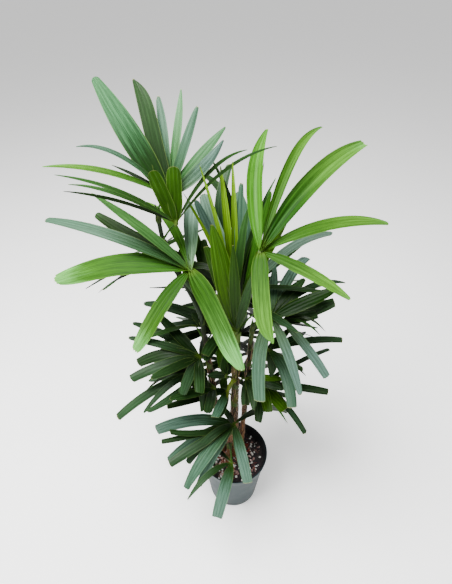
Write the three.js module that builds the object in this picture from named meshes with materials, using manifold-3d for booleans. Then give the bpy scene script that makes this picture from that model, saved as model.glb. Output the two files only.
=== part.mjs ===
// Lady palm in a nursery pot: a clump of slender canes that carry fans of long pleated leaflets.
// Millimetres, +Z up. The origin is the centre of the pot's flat underside, and -Y is the front.
import * as THREE from "three";
import { mergeVertices } from "three/addons/utils/BufferGeometryUtils.js";
import Module from "manifold-3d";

const wasm = await Module();
wasm.setup();

// ---- Driving dimensions ------------------------------------------------------------------

const FIT_GAP = 0.3; // clear space between neighbouring pieces
const POT = {
  height: 250, baseRadius: 90, neckRadius: 112, rimRadius: 120,
  rimHeight: 22, shoulder: 6, flare: 3, wall: 3, facets: 32,
};
const SOIL_LEVEL = 214; // top of the potting mix
const CANE_SIDES = 8;
const CANE_FLARE = 4; // extra radius where a cane enters the mix
const FLARE_FADE = 26; // height over which the flare dies out
const STALK = { sides: 5, steps: 3, rootRadius: 3.4, tipRadius: 2.5, arch: 0.12 };
const HUB = { radius: 8, thickness: 6, sides: 6 };
const LEAFLET = { sides: 3, steps: 4, rootWidth: 6, thickness: 3.4, clearance: 1.1 };
const OUTLINE = [0, 0.8, 1, 0.94, 0.5]; // share of the full width at each of a leaflet's stations

// A leaflet that would touch a neighbour tries these turns and lifts, in degrees, before it is
// left out.
const TRIES = [
  [0, 0], [4, 0], [-4, 0], [0, 6], [0, -6], [8, 4], [-8, 4], [0, 12], [0, -12],
  [12, 0], [-12, 0], [10, 12], [-10, 12], [10, -12], [-10, -12], [0, 20], [0, -20],
];

// Canes: where each leaves the mix, how far it leans by its tip, and a sideways bend part way up.
const CANES = {
  left: {
    foot: [-38, 28], lean: [-85, 2], bend: [-66, 31], between: [0.66, 0.92],
    tip: 1215, radii: [9.5, 5], steps: 10,
  },
  centre: {
    foot: [-1, 11], lean: [1, 2], bend: [0, 0], between: [0, 1],
    tip: 880, radii: [14, 9], steps: 4,
  },
  right: {
    foot: [26, 33], lean: [20, 25], bend: [0, 0], between: [0, 1],
    tip: 860, radii: [8.5, 5], steps: 4,
  },
  back: {
    foot: [-8, 65], lean: [12, 58], bend: [0, 0], between: [0, 1],
    tip: 800, radii: [9, 7], steps: 4,
  },
  front: {
    foot: [-22, -17], lean: [10, 8], bend: [0, 0], between: [0, 1],
    tip: 426, radii: [8, 6], steps: 3,
  },
};

// Leaflets dealt evenly over a fan, the outer ones shorter.
function evenFan(count, spread, length) {
  return Array.from({ length: count }, (_, i) => {
    const share = i / (count - 1) - 0.5;
    return [share * spread, length * (1 - 0.9 * share * share)];
  });
}

// Fronds. stalk: length, rise and compass direction, which is degrees anticlockwise from +X.
// blade: heading, pitch and roll of the fan. Each leaflet: bearing from the heading and length,
// and where they differ from the frond's own, width, droop, lift above the fan and sweep sideways.
const FRONDS = [
  // top of the left cane
  { name: "left_frond_1", cane: "left", height: 1200, stalk: [45, 46, 17], blade: [95, 60, 0],
    droop: 0.08, width: 24, tone: "mature",
    leaflets: [[59, 305, 13, 0.22, 1, 0.09], [39, 311, 10, 0.46, 15], [31, 282, 50, 0, 1, -0.05],
      [11.6, 270, 34, 0.07, 0, -0.03], [-1, 251, 20, 0.17, 0, 0.06], [-12.5, 298, 18, 0.25, 0, 0.08],
      [-21.7, 200, 20, 0], [-41.5, 222, 24, 0.16, -1, 0.07], [-62, 166, 26, 0, 2, 0.24],
      [53, 151, 8, 0.15]] },
  { name: "left_frond_2", cane: "left", height: 1120, stalk: [73, 54, -28], blade: [100, 70, 0],
    droop: 0.06, width: 26, tone: "mature",
    leaflets: [[19.6, 124, 30, 0], [-2.7, 130, 32], [-31, 322, 9, 0.4, -2, -0.06],
      [-40, 359, 8, 0.32, -2, -0.08], [46, 280, 9, 0.12, 7, 0.18], [53, 308, 9, 0.38, -4, -0.09],
      [57, 258, 8, 0.13, 3, 0.09]] },
  // top of the centre cane
  { name: "centre_frond_1", cane: "centre", height: 865, stalk: [231, 60, 180], blade: [180, 15, -25],
    droop: 0.25, width: 34, tone: "bright",
    leaflets: [[128, 241, 46, 0.22], [58, 228, 34, 0, -3, 0.19], [-2.3, 345, 54, 0.37, 0, 0.04],
      [-14.1, 432, 32, 0.34, 9, -0.1], [-20.8, 261, 32, 0], [-30.3, 280, 24, 0.02, 20, 0.1],
      [-79.4, 340, 40, 0.43, 2, -0.03], [-5.5, 253, 9, 0.6, -5], [-66.7, 331, 26, 0.37, 1, 0.14],
      [-120.7, 174, 24, 0.7, -25, -0.17]] },
  { name: "centre_frond_2", cane: "centre", height: 855, stalk: [285, 79, -24], blade: [10, 20, 35],
    droop: 0.25, width: 34, tone: "bright",
    leaflets: [[78, 350, 50, 0.14, 0, -0.17], [55, 513, 32, 0.36, 3, -0.08],
      [37, 464, 48, 0.29, 1, -0.05], [9, 365, 32, 0.36, -3], [-43, 214, 29, 0.18, 2],
      [-114, 190, 38, 0.12, 0, 0.12]] },
  { name: "centre_frond_3", cane: "centre", height: 872, stalk: [64, 67, 105], blade: [90, 80, 0],
    droop: 0.05, width: 18, tone: "young",
    leaflets: [[7, 374, 18, 0, 3, 0.09], [4.6, 437, 28, 0.19, -2], [16, 409, 16, 0.33, -3],
      [-4, 413, 24, 0.11, 0, 0.02], [-8, 443, 18, 0.25, -2, -0.07], [-2, 340, 20], [-8, 300, 20, 0.1, 3],
      [16, 402, 12, 0.22, -1, 0.03]] },
  { name: "centre_frond_4", cane: "centre", height: 850, stalk: [84, 45, 80], blade: [88, 70, 0],
    droop: 0.08, width: 26, tone: "mature",
    leaflets: [[-3, 464, 16, 0.21, 6, 0.22], [-2.5, 550, 26, 0.44, -4, 0.24],
      [21.5, 517, 30, 0.38, -1, -0.32], [-5, 449, 36, 0.39, -2, 0.12], [-7, 407, 8, 0.1],
      [-29, 428, 26, 0.43, -2, -0.11], [13, 345, 14, 0.38, -1, -0.21], [-12, 330, 22], [-24, 300, 26],
      [26, 320], [38, 265, 30, 0.1], [23.8, 369, 40, 0.2, -1, -0.06]] },
  { name: "centre_frond_5", cane: "centre", height: 850, stalk: [28, 52, -95], blade: [95, 80, 0],
    droop: 0.05, width: 26, tone: "young",
    leaflets: [[12.7, 315, 46, 0.03, 0, -0.08], [2, 259, 26, 0, 4], [-10, 219, 24], [18, 300, 28, 0.15],
      [26, 230, 26, 0.1]] },
  // right side
  { name: "right_frond_1", cane: "right", height: 840, stalk: [72, 40, -25], blade: [10, 30, 20],
    droop: 0.15, width: 30, tone: "mature",
    leaflets: [[48, 300, 34, 0.4, -2, -0.08], [63, 181, 24, 0.1], [31, 171, 30, 0.25],
      [-2, 185, 34, 0.05], [22, 314, 20, 0.52, 1, -0.08], [-86, 183, 26, 0.4],
      [-143, 190, 38, 0.19, 6, 0.41]] },
  { name: "right_frond_2", cane: "right", height: 810, stalk: [96, 28, -2], blade: [0, 20, 20],
    droop: 0.2, width: 26, tone: "mature",
    leaflets: [[7, 152, 42, 0], [-3, 98, 32, 0, 2], [-6, 195, 7, 0.7, 38], [-12, 146, 8, 0.7, 29],
      [-57, 179, 26, 0.3]] },
  { name: "right_frond_3", cane: "right", height: 700, stalk: [63, 22, 11], blade: [-10, 15, 20],
    droop: 0.2, width: 28, tone: "mature",
    leaflets: [[47, 98, 28, 0], [25, 126, 22, 0], [20, 249, 24, 0.3, -5], [-23, 129, 10, 0.4],
      [-38, 169, 34, 0.3, 15, -0.42], [-59.9, 84, 28, 0, 7, -0.39]] },
  { name: "right_frond_4", cane: "right", height: 540, stalk: [60, 25, 8], blade: [-20, 15, 10],
    droop: 0.2, width: 28, tone: "mature",
    leaflets: [[49, 293, 22, 0.25], [40, 82, 24, 0.4], [7, 213, 28, 0.15], [-39, 118, 38, 0],
      [-26, 190, 20, 0.55, 4], [-47, 158, 8, 0], [-62, 100, 34, 0.2, 10], [-83, 118, 30, 0.15]] },
  { name: "right_frond_8", cane: "right", height: 615, stalk: [35, 40, -100], blade: [-20, 20, 10],
    droop: 0.15, width: 26, tone: "mature",
    leaflets: [[10, 117, 24], [-5, 129, 28, 0.2], [-71, 79, 24, 0.35, 5], [-44, 74, 26, 0.3],
      [68, 85, 26, 0.1], [-92.9, 86, 14, 0.07, 3, 0.23], [-44.6, 104, 26, 0.19, 6, -0.29]] },
  // left side
  { name: "left_frond_3", cane: "left", height: 715, stalk: [47, 49, -148], blade: [190, 20, -20],
    droop: 0.2, width: 28, tone: "mature",
    leaflets: [[-44, 178, 30, 0], [-36, 257, 26, 0.3, -4], [-16, 219, 24, 0.15], [-9, 199, 34, 0.55, 4],
      [12, 206, 30, 0.3], [28, 158, 26, 0], [55, 97, 32, 0.65, 4], [90, 106, 32, 0],
      [-116.8, 128, 30, 0.38, -11, 0.19]] },
  { name: "left_frond_4", cane: "left", height: 625, stalk: [43, 50, 171], blade: [190, 15, -10],
    droop: 0.22, width: 28, tone: "mature",
    leaflets: [[3, 170, 24], [4, 238, 12, 0.7, 28], [13, 282, 28, 0.5], [19, 245, 18, 0.7, 23],
      [34, 145, 8, 0.2, -5], [-20, 160], [-45, 150], [85, 96, 32, 0.65, 7], [46, 213, 22, 0, 1, -0.14]] },
  { name: "centre_frond_6", cane: "centre", height: 770, stalk: [67, 28, 123], blade: [180, 25, 0],
    droop: 0.15, width: 26, tone: "mature",
    leaflets: [[-22, 297, 32, 0.35], [-19, 228, 18, 0.7], [38.4, 133, 28, 0.11, 9, 0.16],
      [58.7, 130, 28, 0.12, 0, 0.09], [-45, 110], [-80, 160], [73.1, 115, 22, 0.3, 3, 0.14]] },
  { name: "left_frond_5", cane: "left", height: 600, stalk: [48, 40, -82], blade: [200, 15, -20],
    droop: 0.2, width: 30, tone: "mature",
    leaflets: [[59, 67, 30, 0.4], [3, 90, 30], [10.7, 156, 24, 0.07, 0, -0.06], [-30, 120]] },
  // low fronds over the pot
  { name: "front_frond_1", cane: "front", height: 415, stalk: [38, 72, -45], blade: [200, 15, -20],
    droop: 0.3, width: 28, tone: "mature",
    leaflets: [[-23, 260, 40, 0.22, 3, 0.22], [0, 236, 30, 0.65], [9, 221, 26, 0.7, 23],
      [18, 246, 30, 0.26, 5, -0.08], [38, 195, 30, 0.5], [19, 227, 28, 0.26, -1, 0.28],
      [91, 176, 38, 0.1], [-155, 309, 24, 0.7], [13.7, 209, 20, 0, 1, -0.28],
      [7.1, 242, 20, 0.06, -3, -0.1], [31.3, 230, 28, 0.3, 1, 0.05], [-67.2, 81, 26, 0.09, 25, 0.08]] },
  { name: "centre_frond_7", cane: "centre", height: 553, stalk: [40, 49, 176], blade: [210, 15, 0],
    droop: 0.25, width: 28, tone: "mature",
    leaflets: [[33, 122, 28, 0], [-7, 202, 26, 0], [-12.6, 68, 28, 0, 8, -0.19], [46.7, 93, 26, 0.2]] },
  { name: "centre_frond_10", cane: "centre", height: 645, stalk: [35, 35, 180], blade: [95, 60, 0],
    droop: 0.1, width: 26, tone: "mature",
    leaflets: [[11, 109, 28, 0], [69, 58, 26, 0.45], [-29, 89, 26, 0], [155.3, 110, 24, 0, -21, 0.44]] },
  { name: "front_frond_2", cane: "front", height: 330, stalk: [131, 31, -87], blade: [235, 25, 0],
    droop: 0.3, width: 28, tone: "mature",
    leaflets: [[-23, 198, 22, 0.55, 7, 0.17], [20, 208, 36, 0.1], [-109, 259, 26, 0.24, -2, 0.28]] },
  // behind
  { name: "back_frond_1", cane: "back", height: 780, stalk: [80, 50, 95], blade: [90, 65, 0],
    droop: 0.05, width: 28, tone: "mature",
    leaflets: [[30, 139, 28, 0.14], [9, 170, 28, 0.17], [-5, 181, 28, 0.17], [-19, 166, 28, 0.15],
      [-48, 254, 28, 0.03], [-36, 145, 28, 0.12], [-60, 142, 28, 0.08]] },
  { name: "left_frond_10", cane: "left", height: 790, stalk: [45, 60, 20], blade: [95, 65, 0],
    droop: 0.05, width: 28, tone: "mature",
    leaflets: [[1.5, 374, 30, 0.25, -1, 0.09], [-1.5, 304, 30, 0.18, -1, 0.07],
      [20, 260, 34, 0.06, 0, -0.05], [-19, 131], [-34, 111], [41, 84]] },
  { name: "left_frond_6", cane: "left", height: 1040, stalk: [70, 20, 130], blade: [140, -25, 0],
    droop: 0.12, width: 28, tone: "mature", leaflets: evenFan(7, 170, 230) },
  { name: "left_frond_7", cane: "left", height: 900, stalk: [80, 20, 75], blade: [80, -25, 0],
    droop: 0.12, width: 28, tone: "mature", leaflets: evenFan(7, 170, 230) },
  { name: "left_frond_8", cane: "left", height: 780, stalk: [70, 20, 120], blade: [115, -28, 0],
    droop: 0.12, width: 28, tone: "mature", leaflets: evenFan(7, 170, 210) },
  { name: "centre_frond_8", cane: "centre", height: 815, stalk: [155, 52, 62], blade: [75, -20, 0],
    droop: 0.12, width: 30, tone: "mature", leaflets: evenFan(7, 170, 260) },
  { name: "centre_frond_9", cane: "centre", height: 850, stalk: [90, 30, 35], blade: [40, -20, 0],
    droop: 0.12, width: 30, tone: "mature", leaflets: evenFan(7, 160, 175) },
  { name: "right_frond_5", cane: "right", height: 770, stalk: [70, 30, 70], blade: [70, -25, 0],
    droop: 0.12, width: 28, tone: "mature", leaflets: evenFan(7, 170, 230) },
  { name: "right_frond_6", cane: "right", height: 620, stalk: [70, 25, 60], blade: [62, -25, 0],
    droop: 0.15, width: 28, tone: "mature", leaflets: evenFan(7, 170, 175) },
  { name: "right_frond_7", cane: "right", height: 460, stalk: [60, 30, 55], blade: [55, -20, 0],
    droop: 0.15, width: 26, tone: "mature", leaflets: evenFan(6, 150, 150) },
  { name: "back_frond_2", cane: "back", height: 700, stalk: [70, 35, 150], blade: [150, -15, 0],
    droop: 0.15, width: 28, tone: "mature", leaflets: evenFan(7, 170, 220) },
  { name: "back_frond_3", cane: "back", height: 640, stalk: [70, 35, 80], blade: [80, -15, 0],
    droop: 0.15, width: 28, tone: "mature", leaflets: evenFan(7, 170, 220) },
  { name: "back_frond_4", cane: "back", height: 540, stalk: [60, 35, 120], blade: [120, -15, 0],
    droop: 0.15, width: 28, tone: "mature", leaflets: evenFan(7, 170, 210) },
  { name: "back_frond_5", cane: "back", height: 470, stalk: [60, 35, 50], blade: [60, -10, 0],
    droop: 0.2, width: 26, tone: "mature", leaflets: evenFan(6, 160, 190) },
  { name: "back_frond_6", cane: "back", height: 740, stalk: [95, 30, 100], blade: [95, -5, 0],
    droop: 0.2, width: 28, tone: "mature", leaflets: evenFan(8, 200, 220) },
  { name: "left_frond_9", cane: "left", height: 480, stalk: [60, 30, 120], blade: [110, -15, 0],
    droop: 0.2, width: 26, tone: "mature", leaflets: evenFan(5, 110, 150) },
];

// ---- Shared shaping ----------------------------------------------------------------------

const UP = new THREE.Vector3(0, 0, 1);
const radians = THREE.MathUtils.degToRad;

// A closed geometry as a solid that can be joined and cut.
function solid(geometry) {
  geometry.deleteAttribute("normal");
  geometry.deleteAttribute("uv");
  const merged = mergeVertices(geometry, 1e-4);
  const mesh = new wasm.Mesh({
    numProp: 3,
    vertProperties: new Float32Array(merged.attributes.position.array),
    triVerts: new Uint32Array(merged.index.array),
  });
  return new wasm.Manifold(mesh);
}

// The solid as a geometry again.
function geometryOf(manifold) {
  const mesh = manifold.getMesh();
  const geometry = new THREE.BufferGeometry();
  geometry.setAttribute("position", new THREE.BufferAttribute(mesh.vertProperties, 3));
  geometry.setIndex(new THREE.BufferAttribute(mesh.triVerts, 1));
  geometry.computeVertexNormals();
  return geometry;
}

// A straight bar laid along a route. route(s) gives, for s from 0 to 1, the centre, the directions
// across and up, and the half sizes along those two.
function bentBar(sides, steps, route) {
  const bar = new THREE.CylinderGeometry(1, 1, 1, sides, steps);
  const places = bar.attributes.position;
  const point = new THREE.Vector3();
  for (let i = 0; i < places.count; i++) {
    point.fromBufferAttribute(places, i);
    const { centre, across, up, halfWidth, halfDepth } = route(point.y + 0.5);
    const place = centre.clone();
    place.addScaledVector(across, point.x * halfWidth);
    place.addScaledVector(up, point.z * halfDepth);
    places.setXYZ(i, place.x, place.y, place.z);
  }
  return bar;
}

// ---- Pot and potting mix -----------------------------------------------------------------

const RIM_FOOT = POT.height - POT.rimHeight;
const NECK_HEIGHT = RIM_FOOT - POT.shoulder; // top of the straight body

// The pot's bore, between its floor and its neck.
function boreRadius(height) {
  const share = (height - POT.wall) / (NECK_HEIGHT - POT.wall);
  return THREE.MathUtils.lerp(POT.baseRadius, POT.neckRadius, share) - POT.wall;
}

function potProfile() {
  return [
    [0, 0],
    [POT.baseRadius, 0],
    [POT.neckRadius, NECK_HEIGHT],
    [POT.rimRadius - POT.flare, RIM_FOOT],
    [POT.rimRadius, POT.height],
    [POT.rimRadius - POT.wall, POT.height],
    [POT.rimRadius - POT.flare - POT.wall, RIM_FOOT],
    [boreRadius(NECK_HEIGHT), NECK_HEIGHT],
    [boreRadius(POT.wall), POT.wall],
    [0, POT.wall],
  ];
}

function mixProfile() {
  const floor = POT.wall + FIT_GAP;
  const sideGap = 2 * FIT_GAP;
  return [
    [0, floor],
    [boreRadius(floor) - sideGap, floor],
    [boreRadius(SOIL_LEVEL) - sideGap, SOIL_LEVEL],
    [0, SOIL_LEVEL],
  ];
}

// A lathe turns about Y, so the turned shape is tipped up to stand on Z.
function turned(profile) {
  const points = profile.map(([radius, height]) => new THREE.Vector2(radius, height));
  const geometry = new THREE.LatheGeometry(points, POT.facets);
  geometry.rotateX(Math.PI / 2);
  return geometry;
}

// ---- Canes -------------------------------------------------------------------------------

function canePoint(cane, height) {
  const share = (height - SOIL_LEVEL) / (cane.tip - SOIL_LEVEL);
  const kick = THREE.MathUtils.smoothstep(share, ...cane.between);
  const x = cane.foot[0] + cane.lean[0] * share + cane.bend[0] * kick;
  const y = cane.foot[1] + cane.lean[1] * share + cane.bend[1] * kick;
  return new THREE.Vector3(x, y, height);
}

function caneRadius(cane, height) {
  const share = (height - SOIL_LEVEL) / (cane.tip - SOIL_LEVEL);
  const taper = THREE.MathUtils.lerp(cane.radii[0], cane.radii[1], share);
  return taper + CANE_FLARE * Math.exp((SOIL_LEVEL - height) / FLARE_FADE);
}

// The cane as a solid, grown by the given margin all round.
function caneSolid(cane, margin) {
  const foot = SOIL_LEVEL + FIT_GAP - margin;
  const tip = cane.tip + margin;
  return solid(bentBar(CANE_SIDES, cane.steps, (s) => {
    const height = THREE.MathUtils.lerp(foot, tip, s);
    const radius = caneRadius(cane, height) + margin;
    return {
      centre: canePoint(cane, height),
      across: new THREE.Vector3(1, 0, 0),
      up: new THREE.Vector3(0, -1, 0),
      halfWidth: radius,
      halfDepth: radius,
    };
  }));
}

// ---- Fronds ------------------------------------------------------------------------------

function direction(compass, rise) {
  const flat = Math.cos(radians(rise));
  return new THREE.Vector3(
    Math.cos(radians(compass)) * flat,
    Math.sin(radians(compass)) * flat,
    Math.sin(radians(rise)),
  );
}

// The fan's own directions: forward along its middle, side to its left, and normal out of its
// upper face.
function fanFrame([heading, pitch, roll]) {
  const forward = direction(heading, pitch);
  const level = direction(heading + 90, 0);
  const upright = new THREE.Vector3().crossVectors(forward, level);
  const side = level.clone().multiplyScalar(Math.cos(radians(roll)));
  side.addScaledVector(upright, Math.sin(radians(roll)));
  const normal = upright.clone().multiplyScalar(Math.cos(radians(roll)));
  normal.addScaledVector(level, -Math.sin(radians(roll)));
  return { forward, side, normal };
}

function frondHub(frond) {
  const [length, rise, compass] = frond.stalk;
  return canePoint(CANES[frond.cane], frond.height).addScaledVector(direction(compass, rise), length);
}

// The stalk leaves its cane and arches a little on its way to the hub of the fan.
function stalkSolid(frond) {
  const root = canePoint(CANES[frond.cane], frond.height);
  const hub = frondHub(frond);
  const reach = hub.clone().sub(root);
  const along = reach.clone().normalize();
  const level = Math.abs(along.z) > 0.95 ? new THREE.Vector3(1, 0, 0) : UP;
  const across = new THREE.Vector3().crossVectors(along, level).normalize();
  const up = new THREE.Vector3().crossVectors(across, along);
  return solid(bentBar(STALK.sides, STALK.steps, (s) => {
    const centre = root.clone().addScaledVector(reach, s);
    centre.addScaledVector(UP, Math.hypot(reach.x, reach.y) * STALK.arch * 4 * s * (1 - s));
    const radius = THREE.MathUtils.lerp(STALK.rootRadius, STALK.tipRadius, s);
    return { centre, across, up, halfWidth: radius, halfDepth: radius };
  }));
}

// The small knot of tissue that all the leaflets of a fan grow from.
function hubSolid(frond) {
  const hub = frondHub(frond);
  const frame = fanFrame(frond.blade);
  return solid(bentBar(HUB.sides, 1, (s) => ({
    centre: hub.clone().addScaledVector(frame.normal, (s - 0.5) * HUB.thickness),
    across: frame.forward,
    up: new THREE.Vector3().crossVectors(frame.forward, frame.normal),
    halfWidth: HUB.radius,
    halfDepth: HUB.radius,
  })));
}

// One leaflet: it runs out from the hub in the plane of the fan, bows down under its own weight,
// and may sweep a little to one side.
function leafletSolid(frond, leaflet, [turn, raise], margin) {
  const [bearing, length, width = frond.width, droop = frond.droop, lift = 0, sweep = 0] = leaflet;
  const hub = frondHub(frond);
  const frame = fanFrame(frond.blade);
  const angle = radians(bearing + turn);
  const outward = frame.forward.clone().multiplyScalar(Math.cos(angle));
  outward.addScaledVector(frame.side, Math.sin(angle));
  outward.multiplyScalar(Math.cos(radians(lift + raise)));
  outward.addScaledVector(frame.normal, Math.sin(radians(lift + raise)));
  const leftward = new THREE.Vector3().crossVectors(frame.normal, outward).normalize();
  const bow = leftward.multiplyScalar(sweep).addScaledVector(UP, -droop);
  return solid(bentBar(LEAFLET.sides, LEAFLET.steps, (s) => {
    const centre = hub.clone().addScaledVector(outward, length * s);
    centre.addScaledVector(bow, length * s * s);
    const along = outward.clone().addScaledVector(bow, 2 * s).normalize();
    const across = new THREE.Vector3().crossVectors(along, frame.normal).normalize();
    const share = OUTLINE[Math.round(s * LEAFLET.steps)];
    const fullWidth = Math.max(LEAFLET.rootWidth, width * share);
    return {
      centre,
      across,
      up: new THREE.Vector3().crossVectors(across, along),
      halfWidth: fullWidth / Math.sqrt(3) + margin,
      halfDepth: LEAFLET.thickness / 1.5 + margin,
    };
  }));
}

// ---- Assembly ----------------------------------------------------------------------------

const palm = new THREE.Group();
const COLOURS = { mature: "#3c6b3a", bright: "#5c9a34", young: "#86a62c" };

function addPiece(name, geometry, colour, roughness) {
  const material = new THREE.MeshStandardMaterial({ color: colour, roughness, metalness: 0 });
  const piece = new THREE.Mesh(geometry, material);
  piece.name = name;
  palm.add(piece);
}

addPiece("pot", turned(potProfile()), "#66797c", 0.55);
addPiece("potting_mix", turned(mixProfile()), "#2b211c", 0.95);

const placed = [];
for (const [name, cane] of Object.entries(CANES)) {
  const shape = caneSolid(cane, 0);
  placed.push({ owner: name, shape });
  addPiece(`${name}_cane`, geometryOf(shape), "#6b5a35", 0.8);
}

for (const frond of FRONDS) {
  const bareFan = stalkSolid(frond).add(hubSolid(frond));
  frond.shape = bareFan.subtract(caneSolid(CANES[frond.cane], FIT_GAP));
  placed.push({ owner: frond.name, shape: frond.shape });
}

function boxesMeet(a, b) {
  return [0, 1, 2].every((axis) => a.min[axis] <= b.max[axis] && b.min[axis] <= a.max[axis]);
}

function touchesNeighbour(guard, owner) {
  const box = guard.boundingBox();
  return placed.some((other) => other.owner !== owner
    && boxesMeet(box, other.shape.boundingBox())
    && !guard.intersect(other.shape).isEmpty());
}

for (const frond of FRONDS) {
  for (const leaflet of frond.leaflets) {
    const attempt = TRIES.find((choice) => {
      const guard = leafletSolid(frond, leaflet, choice, LEAFLET.clearance);
      return !touchesNeighbour(guard, frond.name);
    });
    if (attempt) {
      frond.shape = frond.shape.add(leafletSolid(frond, leaflet, attempt, 0));
      placed.find((entry) => entry.owner === frond.name).shape = frond.shape;
    }
  }
  addPiece(frond.name, geometryOf(frond.shape), COLOURS[frond.tone], 0.45);
}

export default palm;
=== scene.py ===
import math
import random

import bmesh
import bpy
import numpy as np
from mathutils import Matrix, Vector, noise


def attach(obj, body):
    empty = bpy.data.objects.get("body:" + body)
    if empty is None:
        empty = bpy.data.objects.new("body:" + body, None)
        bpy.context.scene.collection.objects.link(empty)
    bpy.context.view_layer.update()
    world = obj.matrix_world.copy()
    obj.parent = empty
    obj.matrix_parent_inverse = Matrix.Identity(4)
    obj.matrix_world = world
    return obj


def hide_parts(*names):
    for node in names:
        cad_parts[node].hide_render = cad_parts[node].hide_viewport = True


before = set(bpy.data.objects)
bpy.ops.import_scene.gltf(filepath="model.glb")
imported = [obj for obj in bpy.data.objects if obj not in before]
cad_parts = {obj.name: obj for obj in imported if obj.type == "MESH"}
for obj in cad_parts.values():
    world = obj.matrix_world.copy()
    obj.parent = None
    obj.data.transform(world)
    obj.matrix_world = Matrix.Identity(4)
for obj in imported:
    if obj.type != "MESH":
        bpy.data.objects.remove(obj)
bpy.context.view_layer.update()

# ---- Pot ----
# A nursery pot blown in one piece from polypropylene, grey outside and black inside. Its tapered
# body steps out under a short rim band, and the lip is rolled.


class Dial:
    """One output of a finish's nodes, which takes part in sums and products."""

    def __init__(self, finish, socket):
        self.finish = finish
        self.socket = socket

    def maths(self, operation, first, second):
        return self.finish.node("Math", {"operation": operation}, {0: first, 1: second})

    def __add__(self, other):
        return self.maths("ADD", self, other)

    def __sub__(self, other):
        return self.maths("SUBTRACT", self, other)

    def __rsub__(self, other):
        return self.maths("SUBTRACT", other, self)

    def __mul__(self, other):
        return self.maths("MULTIPLY", self, other)

    def __gt__(self, other):
        return self.maths("GREATER_THAN", self, other)

    __radd__ = __add__
    __rmul__ = __mul__

    def rise(self, start, end):
        """Runs smoothly from 0 at start to 1 at end."""
        settings = {"interpolation_type": "SMOOTHSTEP"}
        return self.finish.node("MapRange", settings, {0: self, 1: start, 2: end})


class Finish:
    """A material that is put together node by node."""

    def __init__(self, name):
        self.material = bpy.data.materials.new(name)
        self.material.use_nodes = True
        self.tree = self.material.node_tree
        self.surface = self.tree.nodes["Principled BSDF"]

    def plug(self, node, sockets):
        for name, value in sockets.items():
            if isinstance(value, Dial):
                self.tree.links.new(value.socket, node.inputs[name])
            else:
                node.inputs[name].default_value = value

    def node(self, kind, settings=None, sockets=None, output=0):
        node = self.tree.nodes.new("ShaderNode" + kind)
        for name, value in (settings or {}).items():
            setattr(node, name, value)
        self.plug(node, sockets or {})
        return Dial(self, node.outputs[output])

    def place(self):
        """Where each point of the piece lies, in metres."""
        return self.node("TexCoord", output="Object")

    def height(self):
        return self.node("SeparateXYZ", None, {0: self.place()}, output="Z")

    def mark(self, name, output="Color"):
        """The colour that make() stored at the points under a name, or its Alpha."""
        return self.node("Attribute", {"attribute_name": name}, output=output)

    def marks(self, name):
        """The four values that make() stored at the points under a name."""
        colour = self.mark(name)
        parts = [self.node("SeparateColor", None, {0: colour}, output=k) for k in range(3)]
        return *parts, self.mark(name, "Alpha")

    def mix(self, share, first, second, blend="MIX"):
        """Two colours, each a code or a Dial, blended by a share."""
        first, second = (paint(c) if isinstance(c, str) else c for c in (first, second))
        settings = {"data_type": "RGBA", "blend_type": blend}
        return self.node("Mix", settings, {0: share, 6: first, 7: second}, output=2)

    def speckle(self, place, scale, detail=3.0, roughness=0.55):
        sockets = {"Vector": place, "Scale": scale, "Detail": detail, "Roughness": roughness}
        return self.node("TexNoise", None, sockets)

    def relief(self, height, distance, strength=1.0):
        sockets = {"Height": height, "Distance": distance, "Strength": strength}
        return self.node("Bump", None, sockets, output="Normal")

    def wear(self, **sockets):
        """Plugs values into the surface itself, its names written with underscores."""
        self.plug(self.surface, {name.replace("_", " "): value for name, value in sockets.items()})
        return self.material


def paint(code):
    """A colour code as the numbers that a colour socket takes."""
    steps = [int(code[i : i + 2], 16) / 255 for i in (0, 2, 4)]
    linear = [c / 12.92 if c < 0.04045 else ((c + 0.055) / 1.055) ** 2.4 for c in steps]
    return (*linear, 1.0)


def make(name, points, faces, material, nodes, marks=None, smooth=True):
    """Points in millimetres become a piece that rides with the plant and stands for nodes."""
    mesh = bpy.data.meshes.new(name)
    mesh.from_pydata((np.asarray(points) * 0.001).tolist(), [], faces)
    mesh.update()
    for mark, values in (marks or {}).items():
        layer = mesh.attributes.new(mark, "FLOAT_COLOR", "POINT")
        layer.data.foreach_set("color", np.asarray(values, dtype=np.float32).ravel())
    mesh.shade_smooth() if smooth else mesh.shade_flat()
    mesh.materials.append(material)
    piece = bpy.data.objects.new(name, mesh)
    bpy.context.scene.collection.objects.link(piece)
    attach(piece, "root")
    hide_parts(*nodes)


def ring_faces(rings, around):
    """Quads between rings of points that go right round."""
    starts = [i * around for i in range(rings)]
    return [
        (low + j, low + (j + 1) % around, high + (j + 1) % around, high + j)
        for low, high in zip(starts, starts[1:])
        for j in range(around)
    ]


def turned(profile, around):
    """A profile of radius and height pairs, from axis to axis, turned about Z."""
    angles = np.arange(around) * 2 * math.pi / around
    rings = [
        np.column_stack([r * np.cos(angles), r * np.sin(angles), np.full(around, float(z))])
        for r, z in profile[1:-1]
    ]
    points = np.vstack([*rings, [[0, 0, profile[0][1]]], [[0, 0, profile[-1][1]]]])
    faces = ring_faces(len(rings), around)
    low = len(rings) * around
    last, high = low - around, low + 1
    faces += [(low, (j + 1) % around, j) for j in range(around)]
    faces += [(high, last + j, last + (j + 1) % around) for j in range(around)]
    return points, faces


pot_height, pot_wall = 250, 3
pot_base, pot_neck, pot_rim = 90, 112, 120
rim_foot, neck_height = 228, 222
pot_round = 120


def bore(height):
    """The pot's inner radius under its rim band."""
    share = (height - pot_wall) / (neck_height - pot_wall)
    return pot_base + (pot_neck - pot_base) * share - pot_wall


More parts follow.
